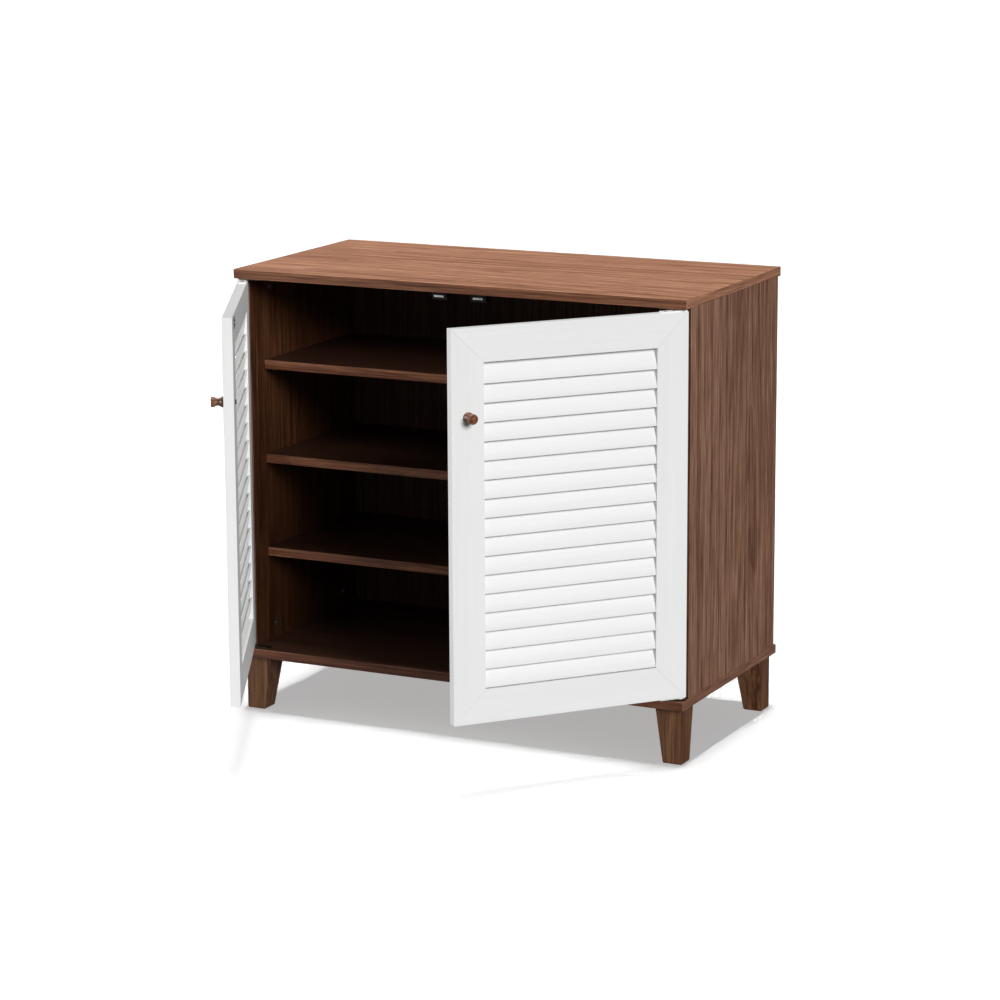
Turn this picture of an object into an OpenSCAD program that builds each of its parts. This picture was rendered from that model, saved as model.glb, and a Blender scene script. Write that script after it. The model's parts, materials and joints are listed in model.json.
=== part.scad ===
// Two-door shoe cabinet with louvred doors, three adjustable shelves and four tapered legs.
// Units are millimetres. X runs to the right seen from the front, Y to the back, Z up.
// The origin is on the floor, midway across, in the plane of the side panels' front edges.
// Both doors are drawn standing open, at the two opening angles below.

/* [Carcass] */
// Width of the top panel
cabinet_w = 800; // [740:1:860]
// Depth of the top panel
cabinet_d = 390; // [370:1:420]
// Height from the floor to the top face
cabinet_h = 740; // [700:1:780]
// Thickness of the top, side, base and shelf boards
board_t = 15; // [15:0.5:18]
// Overhang of the top panel past each side panel
side_inset = 1.5; // [1:0.5:3]
// How far the base panel stands forward of the top panel
base_front = 5.5; // [0:0.5:8]
// Overhang of the top panel behind the side panels
rear_lip = 7; // [5:1:12]
// Thickness of the back panel
back_t = 4; // [3:0.5:5]

/* [Shelves] */
// How far the shelves stand behind the front of the carcass
shelf_setback = 42; // [30:1:60]
// Diameter of the shelf pins
pin_d = 5; // [4:0.5:5]

/* [Legs] */
// Height of the legs
leg_h = 91; // [80:1:110]
// Width of a leg at the top
leg_top_w = 46; // [42:1:50]
// Width of a leg at the foot
leg_foot_w = 33; // [28:0.5:36]

/* [Doors] */
// Thickness of the door frames
door_t = 16; // [15:0.5:18]
// Width of the stiles and rails
frame_w = 53; // [50:1:58]
// Gap between a closed door and the carcass
door_gap = 4; // [4:0.5:6]
// Number of louvre slats in each door
louvres = 17; // [13:1:18]
// Thickness of a louvre slat at its lower edge
slat_t = 8; // [7:0.5:8]
// Opening angle of the left door
left_open = 63.1; // [0:0.1:110]
// Opening angle of the right door
right_open = 50.1; // [0:0.1:110]

/* [Knobs] */
// Length of a knob
knob_len = 21; // [20:1:28]
// Diameter of a knob's head and foot
knob_d = 16; // [15:1:20]
// Height of the knobs above the floor
knob_z = 587; // [500:1:600]

/* [Hidden] */
$fn = 64;
fit = 0.05;                // radial room round pressed-in and screwed-in pieces
run = 0.05;                // radial running room of the door pivots
over = 1;                  // how far a cut runs past the face it opens
board_ease = 0.7;          // chamfer on the boards' edges
door_ease = 0.4;           // chamfer on the door frames' edges

top_y0 = -(door_gap + door_t + 2);
top_y1 = top_y0 + cabinet_d;
top_z0 = cabinet_h - board_t;
base_x = cabinet_w / 2;
base_y0 = top_y0 - base_front;
base_y1 = top_y1;
base_z1 = leg_h + board_t;
side_x1 = cabinet_w / 2 - side_inset;
side_x0 = side_x1 - board_t;
side_y1 = top_y1 - rear_lip;
side_mid = side_x1 - board_t / 2;

groove_d = 5;
groove_room = 0.2;
back_y1 = side_y1 - 8;
back_y0 = back_y1 - back_t;
back_edge = 0.5;           // how far the back panel stops short of the groove bottom

shelf_x = side_x0 - 0.5;
shelf_y1 = back_y0 - 3;
shelf_gap = (top_z0 - base_z1 - 3 * board_t) / 4;
shelf_z = [for (i = [1:3]) base_z1 + i * (shelf_gap + board_t)];
pin_y = [shelf_setback + 30, shelf_y1 - 30];
pin_hole = 9.5;
pin_tab = [8, 7, 6];       // length out of the panel, width, height
pin_drop = board_t + pin_tab[2] / 2 + fit;  // pin axis below a shelf's top face

leg_x = base_x - 6;
leg_y0 = top_y0 + 6;
leg_y1 = base_y1 - 13;
foot_chamfer = 1.5;
bolt_r = 4;
bolt_z0 = leg_h - 28;
bolt_z1 = leg_h + 12;
insert_r = 6;
insert_h = 12.5;

cam_r = 7.5;
cam_t = 12;
cam_off = 24;              // cam axis from the end of the side panel
cam_slot_x = 3.6;          // face left in front of the slot for the bolt head
cam_slot_w = 7.2;
cam_slot_z = -1.6;
cam_cross = [1.8, 8, 1.4]; // depth, length and width of the driver recess
cam_bolt_r = 3;
cam_neck_r = 2;
cam_head_r = 3.2;
cam_head_h = 3;
cam_collar = 16;           // length of the thick shank inside the side panel
cam_y = [65, side_y1 - 65];
dowel_r = 4;
dowel_y = [30, side_y1 - 30];
dowel_in_panel = 9.5;
dowel_in_side = 20;

door_z0 = base_z1 + 5;
door_z1 = top_z0 - 4;
door_x1 = side_x1 - 3;     // a closed door stops this far inside the carcass side
door_x0 = 1;
door_y0 = -(door_gap + door_t);
door_y1 = -door_gap;
open_x0 = door_x0 + frame_w;
open_x1 = door_x1 - frame_w;
open_z0 = door_z0 + frame_w;
open_z1 = door_z1 - frame_w;
mitre_gap = 0.2;

slat_head = 5;             // extra height of the opening above the top slat
pitch = (open_z1 - open_z0 - slat_head) / louvres;
slat_h = pitch + 6;        // height of a slat, which laps the next one up
slat_y0 = door_y0 + 1.2;   // front of a slat's lower edge
slat_y1 = door_y1 - 1.2;   // back of its upper edge
slat_tip = 1.6;            // thickness at its upper edge
slat_bow = 1.5;            // how the front bows: 1 would be flat
slat_nose = 0.8;           // chamfer under its lower edge
slat_steps = 8;
slat_drop = 1.5;           // a slat's lower edge stands this far above its pitch line
slot_d = 8;
slot_room = 0.15;
rebate_d = door_t - 8;
rebate_h = 8;

pivot_x = door_x1 - 7.5;   // pivot to the door's hinge-side edge
pivot_y = door_y0 + door_t / 2;
pivot_r = 3;
bush_r = 4.5;
leaf_t = 1.8;
leaf_w = 12;
leaf_x0 = pivot_x - 36;
leaf_x1 = pivot_x + 6.5;
leaf_screw_x = [pivot_x - 14, pivot_x - 28];
bush_len = 9;
pin_len = 8;
washer_t = 1.1;
washer_r = 6;

screw_r = 1.6;
screw_head_r = 3.2;
leaf_screw_len = 12;
corner_in = 34;            // mitre dowel centre, measured in from both door edges
mitre_dowel_len = 28;

knob_x = door_x0 + frame_w / 2;
knob_r = knob_d / 2;
knob_cap = 4.5;            // length of the straight band at the foot and at the head
knob_waist = 2.6;          // depth of the cove between the two bands
knob_rim_r = 1.6;
knob_steps = 12;
ring_r = 4.8;              // ring cut in the end face
ring_w = 1.6;
ring_d = 0.8;
knob_screw_r = 2;
knob_screw_room = 0.3;
knob_bore = 13;
knob_screw_head = [3.2, 4, 2.2];      // outer radius, inner radius, height
knob_screw_cross = [4.4, 0.9, 1.4];   // length, width, depth

catch_x = 34.5;
catch_w = 26;
catch_y0 = -1;
catch_d = 16;
catch_h = 14.5;
catch_wall = 1.2;          // floor of the catch body under the magnets
ear_w = 44;
ear_d = 12;
ear_t = 3;
pole_w = 17.5;
pole_t = 3;
pole_d = 13;
pole_out = 1.5;            // the poles stand this far out of the catch bodies
magnet_t = 2.5;
magnet_back = 0.4;         // the magnets stand this far inside the catch bodies
stack_z = top_z0 - catch_h + catch_wall + fit;
catch_screw_x = 17.5;
catch_screw_len = 11;
strike_w = 16;
strike_h = 18;
strike_t = 1;
strike_z = door_z1 - 12;
strike_screw_z = [strike_z - 3.8, strike_z + 2.9];
strike_screw_r = 1.25;
strike_head_r = 2;
strike_head_h = 1.5;
strike_screw_len = 10;

walnut = [0.40, 0.27, 0.19];
solid_walnut = [0.38, 0.25, 0.16];
backing = [0.30, 0.22, 0.17];
paint = [0.93, 0.93, 0.92];
steel = [0.72, 0.72, 0.73];
bronzed = [0.20, 0.17, 0.15];
zinc = [0.62, 0.63, 0.65];
nylon = [0.88, 0.87, 0.84];
plastic = [0.13, 0.09, 0.07];
ferrite = [0.10, 0.10, 0.11];
beech = [0.72, 0.58, 0.40];

// ---- helpers ----

// Draws right-hand children on the right (1) or mirrored to the left (-1)
module on_side(side) {
    if (side > 0) children();
    else mirror([1, 0, 0]) children();
}

// Swings children, drawn on the closed right door, to the rest angle of one door
module in_door(side) {
    turn = side > 0 ? right_open : left_open;
    on_side(side)
        translate([pivot_x, pivot_y, 0])
            rotate([0, 0, turn])
                translate([-pivot_x, -pivot_y, 0])
                    children();
}

// Box between two opposite corners
module block(a, b) {
    translate(a) cube(b - a);
}

// Rectangle between two opposite corners with its own corners cut off by c
module eased_rectangle(a, b, c) {
    polygon([[a[0] + c, a[1]], [b[0] - c, a[1]], [b[0], a[1] + c], [b[0], b[1] - c],
        [b[0] - c, b[1]], [a[0] + c, b[1]], [a[0], b[1] - c], [a[0], a[1] + c]]);
}

// Box between two opposite corners with a chamfer c along all twelve edges
module eased_block(a, b, c) {
    intersection() {
        translate([0, 0, a[2]])
            linear_extrude(height = b[2] - a[2])
                eased_rectangle([a[0], a[1]], [b[0], b[1]], c);
        translate([0, b[1], 0])
            rotate([90, 0, 0])
                linear_extrude(height = b[1] - a[1])
                    eased_rectangle([a[0], a[2]], [b[0], b[2]], c);
        translate([a[0], 0, 0])
            rotate([90, 0, 90])
                linear_extrude(height = b[0] - a[0])
                    eased_rectangle([a[1], a[2]], [b[1], b[2]], c);
    }
}

// Countersunk screw or its hole, head face at z = 0, pointing down; room widens it
module flat_screw(r, head_r, len, room) {
    rotate_extrude()
        polygon([[0, 0], [head_r + room, 0], [r + room, r - head_r],
            [r + room, 1 - len], [0, -len - room]]);
}

// Countersunk screw with its cross recess
module cross_screw(r, head_r, len) {
    difference() {
        flat_screw(r, head_r, len, 0);
        for (turn = [0, 90])
            rotate([0, 0, turn])
                translate([-head_r * 0.6, -head_r * 0.11, -head_r * 0.4])
                    cube([head_r * 1.2, head_r * 0.22, head_r]);
    }
}

// ---- carcass ----

// Places children, drawn pointing up from z = 0, at every side panel end joint
// at the given depths; the lower joints are turned over
module at_side_ends(ys) {
    for (side = [-1, 1])
        for (y = ys)
            on_side(side) {
                translate([side_mid, y, top_z0]) children();
                translate([side_mid, y, base_z1]) mirror([0, 0, 1]) children();
            }
}

// Places children at the four hinge corners, drawn for an upper corner at z = 0
module at_hinge_corners() {
    for (side = [-1, 1])
        on_side(side) {
            translate([0, 0, top_z0]) children();
            translate([0, 0, base_z1]) mirror([0, 0, 1]) children();
        }
}

module dowel_shape(room) {
    translate([0, 0, -dowel_in_side - room])
        cylinder(r = dowel_r + room, h = dowel_in_side + dowel_in_panel + 2 * room);
}

// Connecting bolt: threaded end in the panel, shank and head down in the side
module cam_bolt_shape() {
    head_z = -cam_off + 1;
    cylinder(r = cam_bolt_r, h = dowel_in_panel);
    translate([0, 0, head_z]) cylinder(r = cam_head_r, h = cam_head_h);
    translate([0, 0, head_z]) cylinder(r = cam_neck_r, h = -head_z + over);
    translate([0, 0, -cam_collar]) cylinder(r = cam_bolt_r, h = cam_collar);
}

module panel_joint_holes() {
    at_side_ends(dowel_y) dowel_shape(fit);
    at_side_ends(cam_y) cylinder(r = cam_bolt_r + fit, h = dowel_in_panel + fit);
}

// Places children at the catch screws, drawn with the screw pointing down from z = 0
module at_catch_screws() {
    for (side = [-1, 1])
        for (dx = [-catch_screw_x, catch_screw_x])
            translate([side * catch_x + dx, catch_y0 + catch_d / 2, top_z0 - ear_t])
                mirror([0, 0, 1])
                    children();
}

module hinge_leaf_cuts() {
    at_hinge_corners() {
        translate([pivot_x, pivot_y, -over])
            cylinder(r = bush_r + fit, h = bush_len + 1 + over);
        for (x = leaf_screw_x)
            translate([x, pivot_y, -leaf_t])
                mirror([0, 0, 1])
                    flat_screw(screw_r, screw_head_r, leaf_screw_len, fit);
    }
}

module back_groove() {
    block([-side_x0 - groove_d, back_y0 - groove_room, base_z1 - groove_d],
        [side_x0 + groove_d, back_y1 + groove_room, top_z0 + groove_d]);
}

module top_panel() {
    color(walnut)
        difference() {
            eased_block([-cabinet_w / 2, top_y0, top_z0],
                [cabinet_w / 2, top_y1, cabinet_h], board_ease);
            panel_joint_holes();
            hinge_leaf_cuts();
            back_groove();
            at_catch_screws() flat_screw(screw_r, screw_head_r, catch_screw_len, fit);
        }
}

module base_panel() {
    color(walnut)
        difference() {
            eased_block([-base_x, base_y0, leg_h], [base_x, base_y1, base_z1],
                board_ease);
            panel_joint_holes();
            hinge_leaf_cuts();
            back_groove();
            at_legs()
                translate([0, 0, leg_h - over])
                    cylinder(r = insert_r + fit, h = insert_h + over);
        }
}

module side_panel(side) {
    color(walnut)
        difference() {
            on_side(side)
                translate([0, 0, base_z1])
                    linear_extrude(height = top_z0 - base_z1)
                        eased_rectangle([side_x0, 0], [side_x1, side_y1], board_ease);
            at_side_ends(dowel_y) dowel_shape(fit);
            at_side_ends(cam_y) {
                translate([0, 0, -cam_off]) cylinder(r = cam_bolt_r + 1, h = cam_off + over);
                translate([-board_t / 2 - over, 0, -cam_off])
                    rotate([0, 90, 0])
                        cylinder(r = cam_r + fit, h = cam_t + fit + over);
            }
            back_groove();
            on_side(side)
                for (z = shelf_z)
                    for (y = pin_y)
                        translate([side_x0 - over, y, z - pin_drop])
                            rotate([0, 90, 0])
                                cylinder(r = pin_d / 2 + fit, h = pin_hole + over);
        }
}

module left_side_panel() {
    side_panel(-1);
}

module right_side_panel() {
    side_panel(1);
}

module back_panel() {
    reach = groove_d - back_edge;
    color(backing)
        block([-side_x0 - reach, back_y0, base_z1 - reach],
            [side_x0 + reach, back_y1, top_z0 + reach]);
}

module shelf(i) {
    color(walnut)
        eased_block([-shelf_x, shelf_setback, shelf_z[i] - board_t],
            [shelf_x, shelf_y1, shelf_z[i]], board_ease);
}

module lower_shelf() {
    shelf(0);
}

module middle_shelf() {
    shelf(1);
}

module upper_shelf() {
    shelf(2);
}

module shelf_pins() {
    color(steel)
        for (side = [-1, 1])
            for (z = shelf_z)
                for (y = pin_y)
                    on_side(side)
                        translate([side_x0, y, z - pin_drop]) {
                            rotate([0, 90, 0])
                                cylinder(r = pin_d / 2, h = pin_hole - 0.5);
                            translate([-pin_tab[0], -pin_tab[1] / 2, -pin_tab[2] / 2])
                                cube(pin_tab);
                        }
}

module carcass_dowels() {
    color(beech) at_side_ends(dowel_y) dowel_shape(-fit);
}

module cam_bolts() {
    color(steel) at_side_ends(cam_y) cam_bolt_shape();
}

module cam_discs() {
    color(zinc)
        at_side_ends(cam_y)
            translate([-board_t / 2, 0, -cam_off])
                difference() {
                    rotate([0, 90, 0]) cylinder(r = cam_r, h = cam_t);
                    block([cam_slot_x, -cam_slot_w / 2, cam_slot_z],
                        [cam_slot_x + cam_t, cam_slot_w / 2, 2 * cam_r]);
                    for (turn = [0, 90])
                        rotate([turn, 0, 0])
                            block([-over, -cam_cross[1] / 2, -cam_cross[2] / 2],
                                [cam_cross[0], cam_cross[1] / 2, cam_cross[2] / 2]);
                }
}

// ---- legs ----

// Places children on the axis of every leg
module at_legs() {
    mid = leg_top_w / 2;
    for (side = [-1, 1])
        for (y = [leg_y0 + mid, leg_y1 - mid])
            translate([side * (leg_x - mid), y, 0]) children();
}

// One face view of a leg: plumb on the outer edge at 0, tapered towards -x
module leg_profile() {
    polygon([[0, foot_chamfer], [0, leg_h], [-leg_top_w, leg_h],
        [-leg_foot_w, foot_chamfer], [foot_chamfer - leg_foot_w, 0], [-foot_chamfer, 0]]);
}

// front is 1 for a front leg and -1 for a rear leg
module leg(side, front) {
    corner_y = front > 0 ? leg_y0 : leg_y1;
    mid = leg_top_w / 2;
    color(solid_walnut)
        difference() {
            on_side(side)
                intersection() {
                    translate([leg_x, corner_y + front * (leg_top_w + over), 0])
                        rotate([90, 0, 0])
                            linear_extrude(height = 2 * (leg_top_w + over), center = true)
                                leg_profile();
                    translate([leg_x, corner_y, 0])
                        scale([1, -front, 1])
                            rotate([90, 0, 90])
                                linear_extrude(height = 3 * leg_top_w, center = true)
                                    leg_profile();
                }
            translate([side * (leg_x - mid), corner_y + front * mid, bolt_z0 - 1])
                cylinder(r = bolt_r + fit, h = leg_h);
        }
}

module front_left_leg() {
    leg(-1, 1);
}

module front_right_leg() {
    leg(1, 1);
}

module rear_left_leg() {
    leg(-1, -1);
}

module rear_right_leg() {
    leg(1, -1);
}

module leg_bolts() {
    color(steel)
        at_legs() translate([0, 0, bolt_z0]) cylinder(r = bolt_r, h = bolt_z1 - bolt_z0);
}

module leg_inserts() {
    color(zinc)
        at_legs()
            translate([0, 0, leg_h])
                difference() {
                    cylinder(r = insert_r, h = insert_h - 0.3);
                    translate([0, 0, -over])
                        cylinder(r = bolt_r + fit, h = insert_h + 2 * over);
                }
}

// ---- hinges and catches on the carcass ----

// Leaf with its bush, drawn for the right upper corner with the panel face at z = 0
module leaf_shape() {
    difference() {
        union() {
            block([leaf_x0, pivot_y - leaf_w / 2, -leaf_t],
                [leaf_x1, pivot_y + leaf_w / 2, 0]);
            translate([pivot_x, pivot_y, -leaf_t])
                cylinder(r = bush_r, h = leaf_t + bush_len);
        }
        translate([pivot_x, pivot_y, -leaf_t - over])
            cylinder(r = pivot_r + run, h = leaf_t + bush_len + 2 * over);
        for (x = leaf_screw_x)
            translate([x, pivot_y, -leaf_t])
                mirror([0, 0, 1])
                    flat_screw(screw_r, screw_head_r, leaf_screw_len, fit);
    }
}

module upper_leaf(side) {
    color(bronzed) on_side(side) translate([0, 0, top_z0]) leaf_shape();
}

module lower_leaf(side) {
    color(bronzed)
        on_side(side) translate([0, 0, base_z1]) mirror([0, 0, 1]) leaf_shape();
}

module left_upper_hinge_leaf() {
    upper_leaf(-1);
}

module left_lower_hinge_leaf() {
    lower_leaf(-1);
}

module right_upper_hinge_leaf() {
    upper_leaf(1);
}

module right_lower_hinge_leaf() {
    lower_leaf(1);
}

module hinge_leaf_screws() {
    color(bronzed)
        at_hinge_corners()
            for (x = leaf_screw_x)
                translate([x, pivot_y, -leaf_t])
                    mirror([0, 0, 1])
                        cross_screw(screw_r, screw_head_r, leaf_screw_len);
}

// Plastic housing screwed under the top panel, with a pocket open to the front
module catch_body(side) {
    pocket_x = pole_w / 2 + fit;
    pocket_z = catch_wall - catch_h;
    ear_y0 = (catch_d - ear_d) / 2;
    color(plastic)
        difference() {
            translate([side * catch_x, catch_y0, top_z0])
                difference() {
                    union() {
                        block([-catch_w / 2, 0, -catch_h], [catch_w / 2, catch_d, 0]);
                        block([-ear_w / 2, ear_y0, -ear_t], [ear_w / 2, ear_y0 + ear_d, 0]);
                    }
                    block([-pocket_x, -over, pocket_z], [pocket_x, pole_d + fit,
                        pocket_z + 2 * magnet_t + pole_t + 2 * fit]);
                }
            at_catch_screws() flat_screw(screw_r, screw_head_r, catch_screw_len, fit);
        }
}

module left_catch_body() {
    catch_body(-1);
}

module right_catch_body() {
    catch_body(1);
}

// A flat magnet above and below each pole
module catch_magnets() {
    color(ferrite)
        for (side = [-1, 1])
            for (dz = [0, magnet_t + pole_t])
                translate([side * catch_x, catch_y0, stack_z + dz])
                    block([0.5 - pole_w / 2, magnet_back, 0],
                        [pole_w / 2 - 0.5, pole_d, magnet_t]);
}

module catch_poles() {
    color(steel)
        for (side = [-1, 1])
            translate([side * catch_x, catch_y0, stack_z + magnet_t])
                block([-pole_w / 2, -pole_out, 0], [pole_w / 2, pole_d, pole_t]);
}

module catch_screws() {
    color(zinc) at_catch_screws() cross_screw(screw_r, screw_head_r, catch_screw_len);
}

// ---- doors, each drawn as the closed right door ----

// Outline of the opening's widening at one face: across from a to b, and from outside
// the face at y, inwards (into 1 at the front face, -1 at the back face)
function widening(a, b, y, into) = [[a - door_ease - over, y - into * over],
    [b + door_ease + over, y - into * over], [b - over, y + into * (door_ease + over)],
    [a + over, y + into * (door_ease + over)]];

// Cuts that ease both edges of the frame's opening
module opening_ease() {
    far = door_ease + 2 * over;
    for (face = [[door_y0, 1], [door_y1, -1]])
        intersection() {
            translate([0, 0, open_z0 - far])
                linear_extrude(height = open_z1 - open_z0 + 2 * far)
                    polygon(widening(open_x0, open_x1, face[0], face[1]));
            translate([open_x0 - far, 0, 0])
                rotate([90, 0, 90])
                    linear_extrude(height = open_x1 - open_x0 + 2 * far)
                        polygon([for (p = widening(open_z0, open_z1, face[0], face[1]))
                            [p[1], p[0]]]);
        }
}

// Flat frame member cut from an outline seen from the front, its long edges eased
module member(outline) {
    intersection() {
        translate([0, door_y1, 0])
            rotate([90, 0, 0])
                linear_extrude(height = door_t) polygon(outline);
        eased_block([door_x0, door_y0, door_z0], [door_x1, door_y1, door_z1], door_ease);
    }
}

// Outline of a slat seen from its end, in y and z above its lower edge: a bowed front,
// flat back, thick foot and thin upper edge. room widens it all round
function slat_outline(room) = concat(
    [[slat_y0 + slat_nose - room, -room]],
    [for (i = [0:slat_steps])
        let (z = slat_nose + (slat_h + room - slat_nose) * i / slat_steps)
            [slat_y0 - room + (slat_y1 - slat_tip - slat_y0) * pow(z / slat_h, slat_bow), z]],
    [[slat_y1 + room, slat_h + room], [slat_y0 + slat_t + room, -room]]);

// Slats, or with room their slots, reaching slot_d into both stiles
module slat_bars(room) {
    reach = slot_d - 0.5 + room;
    for (i = [0:louvres - 1])
        translate([open_x0 - reach, 0, open_z0 + i * pitch + slat_drop])
            rotate([90, 0, 90])
                linear_extrude(height = open_x1 - open_x0 + 2 * reach)
                    polygon(slat_outline(room));
}

// Dowels across the four mitres, pointing square to each mitre
module mitre_dowel_bars(room) {
    for (right = [0, 1])
        for (top = [0, 1])
            translate([right ? door_x1 - corner_in : door_x0 + corner_in,
                pivot_y,
                top ? door_z1 - corner_in : door_z0 + corner_in])
                rotate([0, right == top ? -45 : 45, 0])
                    cylinder(r = dowel_r + room, h = mitre_dowel_len + 2 * room,
                        center = true);
}

module pivot_plate_screws(room) {
    for (x = leaf_screw_x) {
        translate([x, pivot_y, door_z1 + leaf_t])
            flat_screw(screw_r, screw_head_r, leaf_screw_len, room);
        translate([x, pivot_y, door_z0 - leaf_t])
            mirror([0, 0, 1])
                flat_screw(screw_r, screw_head_r, leaf_screw_len, room);
    }
}

// Places children at a strike plate's screws, pointing out of the door at its face
module at_strike_screws() {
    for (z = strike_screw_z)
        translate([catch_x, door_y1 + strike_t, z])
            rotate([-90, 0, 0])
                children();
}

module strike_screw_cuts() {
    at_strike_screws()
        translate([0, 0, -strike_screw_len - fit])
            cylinder(r = strike_screw_r + fit, h = strike_screw_len + fit + over);
}

module hinge_stile(side) {
    g = mitre_gap;
    color(paint)
        in_door(side)
            difference() {
                member([[door_x1, door_z0 + g], [door_x1, door_z1 - g],
                    [open_x1, open_z1 - g], [open_x1, open_z0 + g]]);
                opening_ease();
                slat_bars(slot_room);
                mitre_dowel_bars(fit);
            }
}

module free_stile(side) {
    g = mitre_gap;
    color(paint)
        in_door(side)
            difference() {
                member([[door_x0, door_z0 + g], [open_x0, open_z0 + g],
                    [open_x0, open_z1 - g], [door_x0, door_z1 - g]]);
                opening_ease();
                slat_bars(slot_room);
                mitre_dowel_bars(fit);
                translate([knob_x, door_y0 - over, knob_z])
                    rotate([-90, 0, 0])
                        cylinder(r = knob_screw_r + knob_screw_room, h = door_t + 2 * over);
            }
}

module top_rail(side) {
    color(paint)
        in_door(side)
            difference() {
                member([[door_x0, door_z1], [open_x0, open_z1],
                    [open_x1, open_z1], [door_x1, door_z1]]);
                opening_ease();
                block([open_x0, door_y1 - rebate_d, open_z1 - over],
                    [open_x1, door_y1 + over, open_z1 + rebate_h]);
                slat_bars(slot_room);
                mitre_dowel_bars(fit);
                pivot_plate_screws(fit);
                strike_screw_cuts();
            }
}

module bottom_rail(side) {
    color(paint)
        in_door(side)
            difference() {
                member([[door_x0, door_z0], [door_x1, door_z0],
                    [open_x1, open_z0], [open_x0, open_z0]]);
                opening_ease();
                mitre_dowel_bars(fit);
                pivot_plate_screws(fit);
            }
}

module slats(side) {
    color(paint) in_door(side) slat_bars(0);
}

module mitre_dowels(side) {
    color(beech) in_door(side) mitre_dowel_bars(-fit);
}

// Turned knob: foot at 0, a coved waist, and a head with a ring cut in its face
module knob_shape() {
    cove_h = knob_len - 2 * knob_cap;
    cove = [for (i = [0:knob_steps])
        let (t = i / knob_steps)
            [knob_r - knob_waist * sin(180 * t), knob_cap + cove_h * t]];
    rim = [for (a = [0:15:90])
        [knob_r - knob_rim_r * (1 - cos(a)), knob_len - knob_rim_r * (1 - sin(a))]];
    ring = [[ring_r + ring_w / 2, knob_len],
        [ring_r + ring_w / 4, knob_len - ring_d],
        [ring_r - ring_w / 4, knob_len - ring_d],
        [ring_r - ring_w / 2, knob_len]];
    difference() {
        rotate_extrude()
            polygon(concat([[0, 0], [knob_r, 0]], cove, rim, ring, [[0, knob_len]]));
        translate([0, 0, -over]) cylinder(r = knob_screw_r + fit, h = knob_bore + over);
    }
}

module knob(side) {
    color(solid_walnut)
        in_door(side)
            translate([knob_x, door_y0, knob_z]) rotate([90, 0, 0]) knob_shape();
}

module knob_screw(side) {
    head_h = knob_screw_head[2];
    color(bronzed)
        in_door(side)
            translate([knob_x, door_y1, knob_z])
                rotate([90, 0, 0])
                    difference() {
                        union() {
                            cylinder(r = knob_screw_r, h = door_t + knob_bore - 1);
                            translate([0, 0, -head_h])
                                cylinder(r1 = knob_screw_head[0], r2 = knob_screw_head[1],
                                    h = head_h);
                        }
                        for (turn = [0, 90])
                            rotate([0, 0, turn])
                                translate([-knob_screw_cross[0] / 2,
                                    -knob_screw_cross[1] / 2, -head_h - over])
                                    cube([knob_screw_cross[0], knob_screw_cross[1],
                                        knob_screw_cross[2] + over]);
                    }
}

module strike_plate(side) {
    color(steel)
        in_door(side)
            difference() {
                block([catch_x - strike_w / 2, door_y1, strike_z - strike_h / 2],
                    [catch_x + strike_w / 2, door_y1 + strike_t, strike_z + strike_h / 2]);
                strike_screw_cuts();
            }
}

// Screws with raised heads
module strike_screws(side) {
    color(bronzed)
        in_door(side)
            at_strike_screws() {
                translate([0, 0, -strike_screw_len])
                    cylinder(r = strike_screw_r, h = strike_screw_len);
                rotate_extrude()
                    polygon(concat([[0, 0]], [for (a = [0:15:75])
                        [strike_head_r * cos(a), strike_head_h * sin(a)]],
                        [[0, strike_head_h]]));
            }
}

// Plate on a door edge with its pin, drawn for the top edge at z = 0
module pivot_shape(gap) {
    difference() {
        union() {
            block([leaf_x0, pivot_y - leaf_w / 2, 0], [leaf_x1, pivot_y + leaf_w / 2, leaf_t]);
            translate([pivot_x, pivot_y, 0])
                cylinder(r = pivot_r, h = leaf_t + gap + leaf_t + pin_len);
        }
        for (x = leaf_screw_x)
            translate([x, pivot_y, leaf_t])
                flat_screw(screw_r, screw_head_r, leaf_screw_len, fit);
    }
}

module upper_pivot(side) {
    color(paint)
        in_door(side)
            translate([0, 0, door_z1]) pivot_shape(top_z0 - door_z1 - 2 * leaf_t);
}

module lower_pivot(side) {
    color(paint)
        in_door(side)
            translate([0, 0, door_z0])
                mirror([0, 0, 1]) pivot_shape(door_z0 - base_z1 - 2 * leaf_t);
}

module thrust_washer(side) {
    color(nylon)
        in_door(side)
            translate([pivot_x, pivot_y, door_z0 - leaf_t - washer_t])
                difference() {
                    cylinder(r = washer_r, h = washer_t);
                    translate([0, 0, -over])
                        cylinder(r = pivot_r + fit, h = washer_t + 2 * over);
                }
}

module pivot_screws(side) {
    color(zinc)
        in_door(side)
            for (x = leaf_screw_x) {
                translate([x, pivot_y, door_z1 + leaf_t])
                    cross_screw(screw_r, screw_head_r, leaf_screw_len);
                translate([x, pivot_y, door_z0 - leaf_t])
                    mirror([0, 0, 1])
                        cross_screw(screw_r, screw_head_r, leaf_screw_len);
            }
}

module left_hinge_stile() {
    hinge_stile(-1);
}

module left_free_stile() {
    free_stile(-1);
}

module left_top_rail() {
    top_rail(-1);
}

module left_bottom_rail() {
    bottom_rail(-1);
}

module left_slats() {
    slats(-1);
}

module left_mitre_dowels() {
    mitre_dowels(-1);
}

module left_knob() {
    knob(-1);
}

module left_knob_screw() {
    knob_screw(-1);
}

module left_strike_plate() {
    strike_plate(-1);
}

module left_strike_screws() {
    strike_screws(-1);
}

module left_upper_pivot() {
    upper_pivot(-1);
}

module left_lower_pivot() {
    lower_pivot(-1);
}

module left_thrust_washer() {
    thrust_washer(-1);
}

module left_pivot_screws() {
    pivot_screws(-1);
}

module right_hinge_stile() {
    hinge_stile(1);
}

module right_free_stile() {
    free_stile(1);
}

module right_top_rail() {
    top_rail(1);
}

module right_bottom_rail() {
    bottom_rail(1);
}

module right_slats() {
    slats(1);
}

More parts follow.
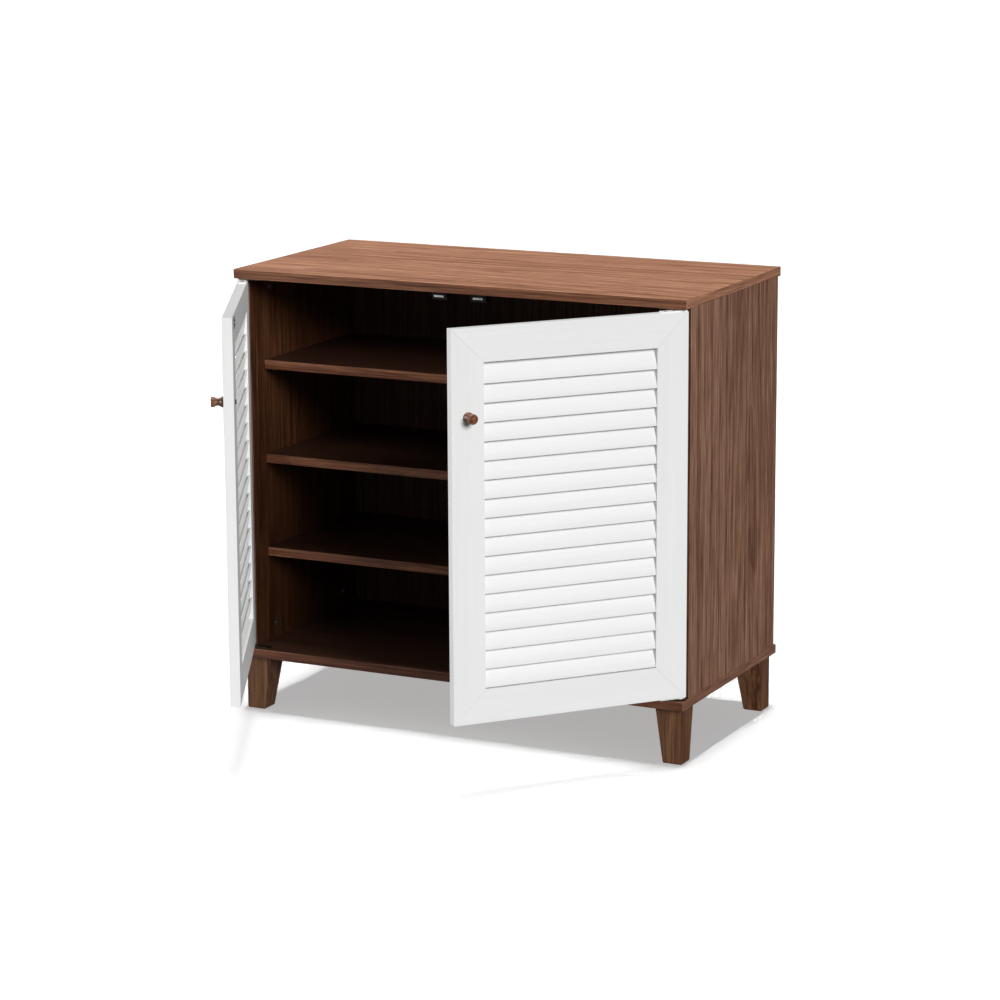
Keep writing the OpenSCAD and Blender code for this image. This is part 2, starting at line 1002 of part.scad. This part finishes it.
module right_mitre_dowels() {
    mitre_dowels(1);
}

module right_knob() {
    knob(1);
}

module right_knob_screw() {
    knob_screw(1);
}

module right_strike_plate() {
    strike_plate(1);
}

module right_strike_screws() {
    strike_screws(1);
}

module right_upper_pivot() {
    upper_pivot(1);
}

module right_lower_pivot() {
    lower_pivot(1);
}

module right_thrust_washer() {
    thrust_washer(1);
}

module right_pivot_screws() {
    pivot_screws(1);
}

top_panel();
base_panel();
left_side_panel();
right_side_panel();
back_panel();
upper_shelf();
middle_shelf();
lower_shelf();
shelf_pins();
front_left_leg();
front_right_leg();
rear_left_leg();
rear_right_leg();
leg_bolts();
leg_inserts();
carcass_dowels();
cam_bolts();
cam_discs();
left_upper_hinge_leaf();
left_lower_hinge_leaf();
right_upper_hinge_leaf();
right_lower_hinge_leaf();
hinge_leaf_screws();
left_catch_body();
right_catch_body();
catch_magnets();
catch_poles();
catch_screws();
left_hinge_stile();
left_free_stile();
left_top_rail();
left_bottom_rail();
left_slats();
left_mitre_dowels();
left_knob();
left_knob_screw();
left_strike_plate();
left_strike_screws();
left_upper_pivot();
left_lower_pivot();
left_thrust_washer();
left_pivot_screws();
right_hinge_stile();
right_free_stile();
right_top_rail();
right_bottom_rail();
right_slats();
right_mitre_dowels();
right_knob();
right_knob_screw();
right_strike_plate();
right_strike_screws();
right_upper_pivot();
right_lower_pivot();
right_thrust_washer();
right_pivot_screws();
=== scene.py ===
import json
import math

import bpy
from mathutils import Matrix, Vector

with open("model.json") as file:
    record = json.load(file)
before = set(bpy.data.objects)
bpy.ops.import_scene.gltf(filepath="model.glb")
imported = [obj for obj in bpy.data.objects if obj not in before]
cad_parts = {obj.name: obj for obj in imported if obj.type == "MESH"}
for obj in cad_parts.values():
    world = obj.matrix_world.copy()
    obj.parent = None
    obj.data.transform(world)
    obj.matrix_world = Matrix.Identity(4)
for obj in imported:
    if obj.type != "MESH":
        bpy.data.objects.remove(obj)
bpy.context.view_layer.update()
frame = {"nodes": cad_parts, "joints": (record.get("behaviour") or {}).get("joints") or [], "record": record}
nodes = frame["nodes"]
subparts = frame["record"]["subparts"]

# ---- camera ----

# Where the photo's perspective puts the camera: place in metres, turns in radians
CAMERA_AT = Vector((2.3285, -4.5793, 1.5088))
CAMERA_YAW = -0.4581
CAMERA_PITCH = 0.2149
CAMERA_ROLL = -0.0053
CAMERA_LENS = 118.15


def make_camera():
    cy, sy = math.cos(CAMERA_YAW), math.sin(CAMERA_YAW)
    cp, sp = math.cos(CAMERA_PITCH), math.sin(CAMERA_PITCH)
    forward = Vector((sy * cp, cy * cp, -sp))
    level = Vector((cy, -sy, 0.0))
    upright = level.cross(forward)
    cr, sr = math.cos(CAMERA_ROLL), math.sin(CAMERA_ROLL)
    right = level * cr + upright * sr
    up = upright * cr - level * sr
    data = bpy.data.cameras.new("camera")
    data.lens = CAMERA_LENS
    data.clip_end = 200.0
    cam = bpy.data.objects.new("camera", data)
    turn = Matrix((right, up, -forward)).transposed().to_4x4()
    cam.matrix_world = Matrix.Translation(CAMERA_AT) @ turn
    bpy.context.scene.collection.objects.link(cam)
    bpy.context.scene.camera = cam


# ---- node graph helpers ----

class Graph:
    """Builds one material's nodes; every call returns an output socket."""

    def __init__(self, name):
        self.mat = bpy.data.materials.new(name)
        self.mat.use_nodes = True
        self.tree = self.mat.node_tree
        self.tree.nodes.clear()
        out = self.tree.nodes.new("ShaderNodeOutputMaterial")
        self.shader = self.tree.nodes.new("ShaderNodeBsdfPrincipled")
        self.tree.links.new(self.shader.outputs[0], out.inputs["Surface"])

    def put(self, socket, value):
        if isinstance(value, bpy.types.NodeSocket):
            self.tree.links.new(value, socket)
        else:
            socket.default_value = value

    def set(self, **values):
        for key, value in values.items():
            self.put(self.shader.inputs[key.replace("_", " ")], value)

    def object_coords(self):
        return self.tree.nodes.new("ShaderNodeTexCoord").outputs["Object"]

    def object_normal(self):
        return self.tree.nodes.new("ShaderNodeTexCoord").outputs["Normal"]

    def mapping(self, vector, turn=(0, 0, 0), scale=(1, 1, 1), move=(0, 0, 0)):
        node = self.tree.nodes.new("ShaderNodeMapping")
        self.put(node.inputs["Vector"], vector)
        node.inputs["Rotation"].default_value = turn
        node.inputs["Scale"].default_value = scale
        node.inputs["Location"].default_value = move
        return node.outputs["Vector"]

    def noise(self, vector, detail=2.0, rough=0.5, distort=0.0, scale=1.0):
        node = self.tree.nodes.new("ShaderNodeTexNoise")
        self.put(node.inputs["Vector"], vector)
        node.inputs["Scale"].default_value = scale
        node.inputs["Detail"].default_value = detail
        node.inputs["Roughness"].default_value = rough
        node.inputs["Distortion"].default_value = distort
        return node.outputs["Fac"]

    def math(self, how, a, b=0.0, c=0.0):
        node = self.tree.nodes.new("ShaderNodeMath")
        node.operation = how
        for socket, value in zip(node.inputs, (a, b, c)):
            self.put(socket, value)
        return node.outputs[0]

    def remap(self, value, low, high, out_low, out_high):
        node = self.tree.nodes.new("ShaderNodeMapRange")
        for key, v in zip(("Value", "From Min", "From Max", "To Min", "To Max"),
                          (value, low, high, out_low, out_high)):
            self.put(node.inputs[key], v)
        return node.outputs[0]

    def ramp(self, fac, stops):
        node = self.tree.nodes.new("ShaderNodeValToRGB")
        self.put(node.inputs["Fac"], fac)
        marks = node.color_ramp.elements
        while len(marks) < len(stops):
            marks.new(0.5)
        for mark, (place, colour) in zip(marks, stops):
            mark.position = place
            mark.color = (*colour, 1.0)
        return node.outputs["Color"]

    def mix(self, fac, a, b, kind="RGBA", blend="MIX"):
        node = self.tree.nodes.new("ShaderNodeMix")
        node.data_type = kind
        if kind == "RGBA":
            node.blend_type = blend
        picked = [s for s in node.inputs if s.enabled]
        for socket, value in zip(picked, (fac, a, b)):
            if isinstance(value, tuple) and kind == "RGBA" and len(value) == 3:
                value = (*value, 1.0)
            self.put(socket, value)
        return next(s for s in node.outputs if s.enabled)

    def axis(self, vector, index):
        node = self.tree.nodes.new("ShaderNodeSeparateXYZ")
        self.put(node.inputs[0], vector)
        return node.outputs[index]

    def bump(self, height, distance, strength):
        node = self.tree.nodes.new("ShaderNodeBump")
        node.inputs["Strength"].default_value = strength
        node.inputs["Distance"].default_value = distance
        self.put(node.inputs["Height"], height)
        return node.outputs[0]


# How squarely a face must look along an axis to count as facing that way
FACING = 0.75

# Turns that lay the grain, drawn along X in a texture, along X, Y or Z of a board
GRAIN_TURN = {"X": (0, 0, 0), "Y": (0, 0, -math.pi / 2), "Z": (0, math.pi / 2, 0)}


def grain_vector(g, grain, seed, door_turn=0.0, end_grain=None):
    """Object coordinates turned so that the grain runs along the first axis.
    end_grain names the axis whose end faces are edged with a strip along Y."""
    coords = g.mapping(g.object_coords(), turn=(0, 0, door_turn))
    along = g.mapping(coords, turn=GRAIN_TURN[grain], move=seed)
    if end_grain is None:
        return along
    strip = g.mapping(coords, turn=GRAIN_TURN["Y"], move=seed)
    facing = g.math("ABSOLUTE", g.axis(g.object_normal(), "XYZ".index(end_grain)))
    return g.mix(g.math("GREATER_THAN", facing, FACING), along, strip, kind="VECTOR")


def scaled(g, vector, along, across):
    return g.mapping(vector, scale=(along, across, across))


# Walnut colours from the darkest late wood to the palest early wood
WALNUT_SHADES = [
    (0.00, (0.095, 0.036, 0.018)),
    (0.28, (0.168, 0.074, 0.042)),
    (0.50, (0.228, 0.108, 0.066)),
    (0.72, (0.292, 0.146, 0.092)),
    (1.00, (0.390, 0.210, 0.138)),
]
WALNUT_PORE = (0.060, 0.024, 0.013)
# How far each layer of the figure moves the colour along those shades
STREAKS = 0.46
DRIFT = 0.40
RING_LINES = -0.20
VEIN_LINES = -0.26

FRONT_PAINTED_SHADE = (0.42, 0.34, 0.27)      # painted shade on the front faces of the top and side panels
BASE_FRONT_PAINTED_SHADE = (0.64, 0.50, 0.41)      # painted shade on the base panel's front face, paler than on the other fronts
INSIDE_PAINTED_SHADE = (0.30, 0.27, 0.25)         # painted shade on faces inside the carcass: base and shelf tops, shelf undersides, the back's front
INNER_SIDE_PAINTED_SHADE = (0.27, 0.20, 0.13)     # painted shade on the side panels' inner faces, warmer in hue than the shade inside


def painted_light_and_shade_by_facing(g, colour, faces):
    """Multiplies a tint into the faces that look one way, as painted shade (tints below one) and painted
    light (above one); each entry holds an axis, a sign and a tint.
    """
    for axis, sign, tint in faces:
        toward = g.math("MULTIPLY", g.axis(g.object_normal(), "XYZ".index(axis)), sign)
        colour = g.mix(g.math("GREATER_THAN", toward, FACING), colour, tint, blend="MULTIPLY")
    return colour


def walnut(name, grain, seed, door_turn=0.0, end_grain=None, tone=(1.0, 1.0, 1.0),
           rings=16.0, fibres=1.9, rough=0.45, shine=0.2, faces=()):
    """Satin lacquered walnut: growth rings, dark lines, streaks, fibres, pores, drift; tone and faces can
    paint light and shade onto it.
    """
    g = Graph(name)
    p = grain_vector(g, grain, seed, door_turn, end_grain)
    field = g.noise(scaled(g, p, 0.55, 4.5), detail=1.5, rough=0.4, distort=0.2)
    ring = g.math("FRACT", g.math("MULTIPLY", field, rings))
    ring = g.math("POWER", ring, 2.2)
    streak = g.noise(scaled(g, p, 1.3, 140.0), detail=3.0, rough=0.6, distort=0.05)
    streak = g.remap(streak, 0.34, 0.66, 0.0, 1.0)
    fibre = g.noise(scaled(g, p, 11.0, 400.0), detail=4.0, rough=0.6)
    drift = g.noise(scaled(g, p, 1.0, 9.0), detail=2.0, rough=0.5)
    vein = g.noise(scaled(g, p, 0.8, 48.0), detail=3.0, rough=0.6)
    vein = g.math("ABSOLUTE", g.math("SUBTRACT", vein, 0.5))
    line = g.remap(vein, 0.0, 0.018, 1.0, 0.0)
    mixed = g.math("MULTIPLY_ADD", streak, STREAKS, 0.5 - STREAKS / 2)
    mixed = g.math("MULTIPLY_ADD", g.math("SUBTRACT", fibre, 0.5), fibres, mixed)
    mixed = g.math("MULTIPLY_ADD", g.math("SUBTRACT", drift, 0.5), DRIFT, mixed)
    mixed = g.math("MULTIPLY_ADD", g.math("SUBTRACT", ring, 0.3), RING_LINES, mixed)
    mixed = g.math("MULTIPLY_ADD", line, VEIN_LINES, mixed)
    colour = g.ramp(mixed, WALNUT_SHADES)
    pore = g.noise(scaled(g, p, 30.0, 1300.0), detail=2.0, rough=0.5)
    pores = g.remap(pore, 0.57, 0.68, 0.0, 0.55)
    colour = g.mix(pores, colour, WALNUT_PORE)
    # tone multiplies the whole board's colour: on the top it is painted light, on the shelves painted shade
    colour = g.mix(1.0, colour, tone, blend="MULTIPLY")
    g.set(Base_Color=painted_light_and_shade_by_facing(g, colour, faces))
    g.set(Roughness=g.remap(fibre, 0.3, 0.7, rough - 0.05, rough + 0.08))
    height = g.math("MULTIPLY_ADD", pores, -0.7, g.math("MULTIPLY", fibre, 0.5))
    g.set(Normal=g.bump(height, 0.00025, 0.4))
    g.set(Specular_IOR_Level=shine)
    return g.mat


def paint(name, grain, seed, door_turn, tone=1.0):
    """Sprayed satin white over open grained wood: the grain telegraphs faintly."""
    g = Graph(name)
    p = grain_vector(g, grain, seed, door_turn)
    fibre = g.noise(scaled(g, p, 5.0, 210.0), detail=4.0, rough=0.6)
    wave = g.noise(scaled(g, p, 1.6, 40.0), detail=2.0, rough=0.5)
    peel = g.noise(g.object_coords(), detail=1.0, scale=700.0)
    body = g.math("MULTIPLY_ADD", wave, 0.5, g.math("MULTIPLY", fibre, 0.5))
    low = tuple(c * tone for c in (0.792, 0.802, 0.793))
    high = tuple(c * tone for c in (0.822, 0.829, 0.822))
    g.set(Base_Color=g.ramp(body, [(0.30, low), (0.62, high)]))
    g.set(Roughness=g.remap(fibre, 0.3, 0.7, 0.30, 0.42))
    height = g.math("MULTIPLY_ADD", fibre, 0.75, g.math("MULTIPLY", peel, 0.25))
    g.set(Normal=g.bump(height, 0.00016, 0.35))
    g.set(Specular_IOR_Level=0.3)
    return g.mat


def metal(name, colour, rough):
    """Plated or bronzed steel: brushed lines, and patches where it has dulled."""
    g = Graph(name)
    lines = g.noise(g.mapping(g.object_coords(), scale=(60, 60, 1800)), detail=3.0, rough=0.6)
    mottle = g.noise(g.object_coords(), detail=3.0, rough=0.6, scale=260.0)
    dull = tuple(c * 0.78 for c in colour)
    g.set(Base_Color=g.mix(g.remap(mottle, 0.35, 0.7, 0.0, 1.0), colour, dull))
    g.set(Roughness=g.remap(lines, 0.3, 0.7, rough - 0.06, rough + 0.10))
    g.set(Normal=g.bump(lines, 0.00005, 0.25))
    g.set(Metallic=1.0)
    return g.mat


def plain(name, colour, rough, grain=900.0, shine=0.4):
    """Moulded or pressed stuff: fine speckle, slight tone drift."""
    g = Graph(name)
    speck = g.noise(g.object_coords(), detail=3.0, rough=0.6, scale=grain)
    drift = g.noise(g.object_coords(), detail=2.0, scale=35.0)
    dark = tuple(c * 0.72 for c in colour)
    mixed = g.math("MULTIPLY_ADD", drift, 0.6, g.math("MULTIPLY", speck, 0.4))
    g.set(Base_Color=g.ramp(mixed, [(0.35, dark), (0.62, colour)]))
    g.set(Roughness=g.remap(speck, 0.3, 0.7, rough - 0.07, rough + 0.07))
    g.set(Normal=g.bump(speck, 0.00008, 0.4), Specular_IOR_Level=shine)
    return g.mat


# ---- materials on the CAD nodes ----

def dress(name, material):
    obj = nodes[name]
    if not obj.material_slots:
        obj.data.materials.append(material)
    for s in obj.material_slots:
        s.material = material


def door_turns():
    """Turn about Z that brings each door from its rest pose back to closed."""
    turns = {}
    for joint in frame["joints"]:
        closed = min(joint["range_deg"]) * joint["axis"][2]
        turns[joint["child"]] = math.radians(closed)
    return turns


def dress_nodes():
    turns = door_turns()
    # front: painted shade on the faces that look to the front
    front = ("Y", -1.0, FRONT_PAINTED_SHADE)
    sides = dict(grain="Z", tone=(0.88, 0.92, 0.94), fibres=2.8)
    # shelf: its tone is painted shade for the shelves inside the carcass; the list below paints light back
    # onto their fronts and more shade onto their tops and undersides
    shelf = dict(grain="X", tone=(0.66, 0.62, 0.60))
    shelf_painted_light_and_shade = [("Y", -1.0, (1.30, 1.15, 1.00)), ("Z", 1.0, INSIDE_PAINTED_SHADE), ("Z", -1.0, INSIDE_PAINTED_SHADE)]
    boards = {
        # painted light: the top's tone makes it much lighter than the sides of the same veneer
        "top_panel": dict(grain="X", end_grain="X", seed=(3.1, 0.4, 0.2), faces=[front],
                          tone=(1.42, 1.39, 1.30)),
        "base_panel": dict(grain="X", end_grain="X", seed=(7.7, 2.4, 1.2),
                           tone=(0.85, 0.85, 0.85),
                           faces=[("Y", -1.0, BASE_FRONT_PAINTED_SHADE), ("Z", 1.0, INSIDE_PAINTED_SHADE)]),
        "left_side_panel": dict(sides, seed=(1.3, 5.1, 2.2),
                                faces=[front, ("X", 1.0, INNER_SIDE_PAINTED_SHADE)]),
        "right_side_panel": dict(sides, seed=(4.9, 8.3, 0.7),
                                 faces=[front, ("X", -1.0, INNER_SIDE_PAINTED_SHADE)]),
        "upper_shelf": dict(shelf, seed=(2.0, 1.1, 4.0), faces=shelf_painted_light_and_shade),
        "middle_shelf": dict(shelf, seed=(9.0, 3.1, 5.0), faces=shelf_painted_light_and_shade),
        "lower_shelf": dict(shelf, seed=(5.5, 6.1, 6.0), faces=shelf_painted_light_and_shade),
        "back_panel": dict(grain="Z", seed=(8.8, 4.4, 3.3), rough=0.6,
                           tone=(0.70, 0.66, 0.62), faces=[("Y", -1.0, INSIDE_PAINTED_SHADE)]),
    }
    for corner, seed in (("front_left", 0.3), ("front_right", 6.3), ("rear_left", 2.3),
                         ("rear_right", 8.3)):
        boards[corner + "_leg"] = dict(grain="Z", seed=(seed, 9.1, 1.0), rings=10.0,
                                       tone=(0.50, 0.47, 0.34))
    for name, look in boards.items():
        dress(name, walnut(name + "_walnut", **look))
    fittings = {
        "steel": metal("nickelled_steel", (0.66, 0.66, 0.67), 0.28),
        "bronzed_steel": metal("bronzed_steel", (0.075, 0.058, 0.045), 0.42),
        "zinc_plate": metal("zinc_plate", (0.58, 0.60, 0.64), 0.34),
        "nylon": plain("nylon", (0.80, 0.79, 0.75), 0.45),
        "dark_plastic": plain("dark_plastic", (0.012, 0.009, 0.007), 0.5, shine=0.1),
        "ferrite": plain("ferrite", (0.014, 0.014, 0.016), 0.6, shine=0.1),
        "beech": plain("beech", (0.50, 0.34, 0.19), 0.6, grain=300.0),
    }
    for body, side in (("left_door", "left"), ("right_door", "right")):
        turn = turns[body]
        upright = paint(side + "_stile_paint", "Z", (1.0, 2.0, 3.0), turn)
        across = paint(side + "_rail_paint", "X", (4.0, 5.0, 6.0), turn)
        slat = paint(side + "_slat_paint", "X", (7.0, 8.0, 1.0), turn, tone=0.96)
        turned = walnut(side + "_knob_walnut", "Y", (2.5, 1.5, 0.5), turn, rings=5.0,
                        tone=(0.82, 0.68, 0.54), rough=0.28, shine=0.5)
        for part in ("hinge_stile", "free_stile", "upper_pivot", "lower_pivot"):
            dress(side + "_" + part, upright)
        for part in ("top_rail", "bottom_rail"):
            dress(side + "_" + part, across)
        dress(side + "_slats", slat)
        dress(side + "_knob", turned)
    for subpart in subparts:
        slot = subpart["material_slot"]
        if slot in fittings:
            dress(subpart["node"], fittings[slot])


# ---- eased edges ----

LEG_EASE = 0.0012
WELD_GAP = 0.00001


def ease(obj, width):
    """Breaks a CAD node's sharp edges with modifiers only."""
    weld = obj.modifiers.new("weld", "WELD")
    weld.merge_threshold = WELD_GAP
    flat = obj.modifiers.new("flat", "DECIMATE")
    flat.decimate_type = "DISSOLVE"
    flat.angle_limit = math.radians(0.5)
    bevel = obj.modifiers.new("eased", "BEVEL")
    bevel.width = width
    bevel.segments = 2
    bevel.limit_method = "ANGLE"
    bevel.angle_limit = math.radians(35)
    bevel.use_clamp_overlap = False
    bevel.miter_outer = "MITER_ARC"
    normals = obj.modifiers.new("normals", "WEIGHTED_NORMAL")
    normals.keep_sharp = True
    normals.weight = 80


def ease_legs():
    for name, obj in nodes.items():
        if name.endswith("_leg"):
            ease(obj, LEG_EASE)


# ---- room ----

FLOOR_HALF = 60.0       # half of the floor's width
FLOOR_TINT = 0.84
FLOOR_GLOW = 0.40       # keeps the shadow under the legs grey instead of black
SKY_LIGHT = 0.07        # light from above the horizon
BOUNCE_LIGHT = 0.13     # light from below it, which stands for the white floor's bounce
HORIZON_BLEND = 0.2     # height above and below the horizon over which the two blend


def make_floor():
    """A pale floor. Its bounce light comes from the lower half of the world instead."""
    g = Graph("studio_floor")
    tone = g.noise(g.object_coords(), detail=2.0, scale=0.4)
    pale = [tuple([FLOOR_TINT + step] * 3) for step in (-0.01, 0.01)]
    g.set(Base_Color=g.ramp(tone, [(0.3, pale[0]), (0.7, pale[1])]))
    g.set(Roughness=0.9, Specular_IOR_Level=0.0, Emission_Strength=FLOOR_GLOW)
    g.set(Emission_Color=(1.0, 1.0, 1.0, 1.0))
    h = FLOOR_HALF
    mesh = bpy.data.meshes.new("floor")
    mesh.from_pydata([(-h, -h, 0), (h, -h, 0), (h, h, 0), (-h, h, 0)], [], [(0, 1, 2, 3)])
    mesh.materials.append(g.mat)
    floor = bpy.data.objects.new("floor", mesh)
    floor.visible_diffuse = False
    floor.visible_glossy = False
    floor.visible_shadow = False
    bpy.context.scene.collection.objects.link(floor)
    return floor


def make_world():
    """Even light above and below the horizon, with a soft change between the two.
    The camera sees a white wall there, where a low view looks past the floor."""
    world = bpy.data.worlds.new("studio")
    world.use_nodes = True
    tree = world.node_tree
    coords = tree.nodes.new("ShaderNodeTexCoord")
    height = tree.nodes.new("ShaderNodeSeparateXYZ")
    blend = tree.nodes.new("ShaderNodeMapRange")
    blend.inputs["From Min"].default_value = -HORIZON_BLEND
    blend.inputs["From Max"].default_value = HORIZON_BLEND
    blend.inputs["To Min"].default_value = BOUNCE_LIGHT
    blend.inputs["To Max"].default_value = SKY_LIGHT
    tree.links.new(coords.outputs["Generated"], height.inputs[0])
    tree.links.new(height.outputs["Z"], blend.inputs["Value"])
    path = tree.nodes.new("ShaderNodeLightPath")
    wall = tree.nodes.new("ShaderNodeMath")
    wall.operation = "MAXIMUM"
    tree.links.new(blend.outputs[0], wall.inputs[0])
    tree.links.new(path.outputs["Is Camera Ray"], wall.inputs[1])
    tree.links.new(wall.outputs[0], tree.nodes["Background"].inputs["Strength"])
    tree.nodes["Background"].inputs["Color"].default_value = (1.0, 1.0, 1.0, 1.0)
    bpy.context.scene.world = world


def sun_light(name, azimuth, elevation, strength, angle, only=None, shades=None):
    """A sun seen at azimuth (0 in front, 90 to the right) and elevation, in degrees.
    only: the collection it lights; shades: the collection that casts its shadows."""
    a, e = math.radians(azimuth), math.radians(elevation)
    source = Vector((math.sin(a) * math.cos(e), -math.cos(a) * math.cos(e), math.sin(e)))
    data = bpy.data.lights.new(name, "SUN")
    data.energy = strength
    data.angle = math.radians(angle)
    light = bpy.data.objects.new(name, data)
    light.rotation_euler = (-source).to_track_quat("-Z", "Y").to_euler()
    bpy.context.scene.collection.objects.link(light)
    if only is not None:
        light.light_linking.receiver_collection = only
    if shades is not None:
        light.light_linking.blocker_collection = shades


def light_group(name, members):
    """A collection that a sun lights, or that casts its shadows."""
    group = bpy.data.collections.new(name)
    for obj in members:
        group.objects.link(obj)
    return group


def make_room():
    sided = {n: o for n, o in nodes.items() if n.startswith(("left_", "right_"))}
    door_pieces = {n: o for n, o in sided.items() if not n.endswith("side_panel")}
    fixed_pieces = [o for n, o in nodes.items() if n not in door_pieces]
    cabinet = light_group("whole_cabinet", nodes.values())
    carcass = light_group("carcass_alone", fixed_pieces)
    doors = light_group("doors_alone", door_pieces.values())
    slats = light_group("slats_alone", [nodes["left_slats"], nodes["right_slats"]])
    from_above = light_group("carcass_and_floor", fixed_pieces + [make_floor()])
    make_world()
    # Each sun's name, azimuth, elevation, strength and width in degrees
    sun_light("overhead", 180, 88.5, 1.5, 6, only=from_above, shades=carcass)
    sun_light("overhead_wide", 180, 88.5, 1.0, 9)
    sun_light("key", 56, 23, 3.05, 24, only=cabinet)
    sun_light("fill", -50, 8, 2.1, 30, only=cabinet)
    sun_light("bounce", 160, -15, 1.3, 40, only=slats, shades=doors)
    sun_light("rear", 245, 30, 0.7, 40, only=cabinet)
    bpy.context.scene.view_settings.view_transform = "Standard"


make_camera()
dress_nodes()
ease_legs()
make_room()
